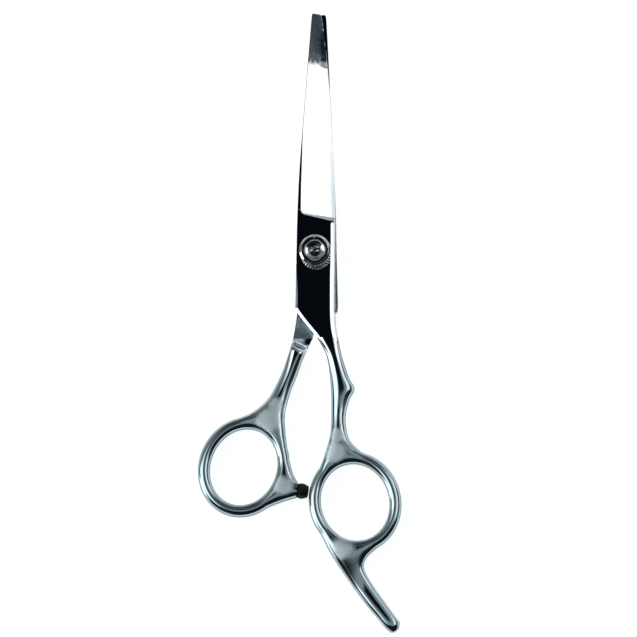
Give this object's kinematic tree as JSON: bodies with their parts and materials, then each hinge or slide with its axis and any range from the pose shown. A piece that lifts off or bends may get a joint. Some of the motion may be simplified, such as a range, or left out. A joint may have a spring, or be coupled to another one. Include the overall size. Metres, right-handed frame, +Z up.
{
  "type": "hair cutting shears",
  "caption": "Slim straight-bladed shears with offset finger rings, a curved finger rest, a rubber stop between the handles and a knurled tension dial on the pivot.",
  "frame": {"origin": "on the pivot axis, in the plane that the shears lie on: the level of the thumb blade's outer face and of the rings' undersides", "axes": "+Y along the closed blades to the tips, +X towards the finger ring, +Z up along the pivot towards the dial"},
  "size_m": [0.0567, 0.175, 0.0091],
  "materials": {
    "blade_steel": "mirror polished",
    "handle_steel": "polished, satin between the ring and the shank",
    "dial_chrome": "polished, knurled side",
    "screw_steel": "bright",
    "spring_steel": "plain",
    "bushing_brass": "plain",
    "washer_plastic": "plain",
    "bumper_rubber": "matte"
  },
  "bodies": {
    "finger_half": {"finger_blade": "blade_steel", "finger_handle": "handle_steel", "pivot_bushing": "bushing_brass", "blade_washer": "washer_plastic", "thrust_washer": "washer_plastic"},
    "thumb_half": {"thumb_blade": "blade_steel", "thumb_handle": "handle_steel", "pivot_screw": "screw_steel", "spring_washer": "spring_steel", "click_plate": "spring_steel", "dial_screw": "screw_steel", "bumper": "bumper_rubber", "bumper_stud": "screw_steel"},
    "dial": {"tension_dial": "dial_chrome", "click_pin": "bushing_brass"}
  },
  "joints": [
    {"name": "pivot", "type": "hinge", "parent": "finger_half", "child": "thumb_half", "pos_m": [0, 0, 0.0025], "axis": [0, 0, -1], "range_deg": [0, 90]},
    {"name": "dial_turn", "type": "hinge", "parent": "thumb_half", "child": "dial", "pos_m": [0, 0, 0.0075], "axis": [0, 0, 1], "range_deg": [-180, 180]}
  ]
}
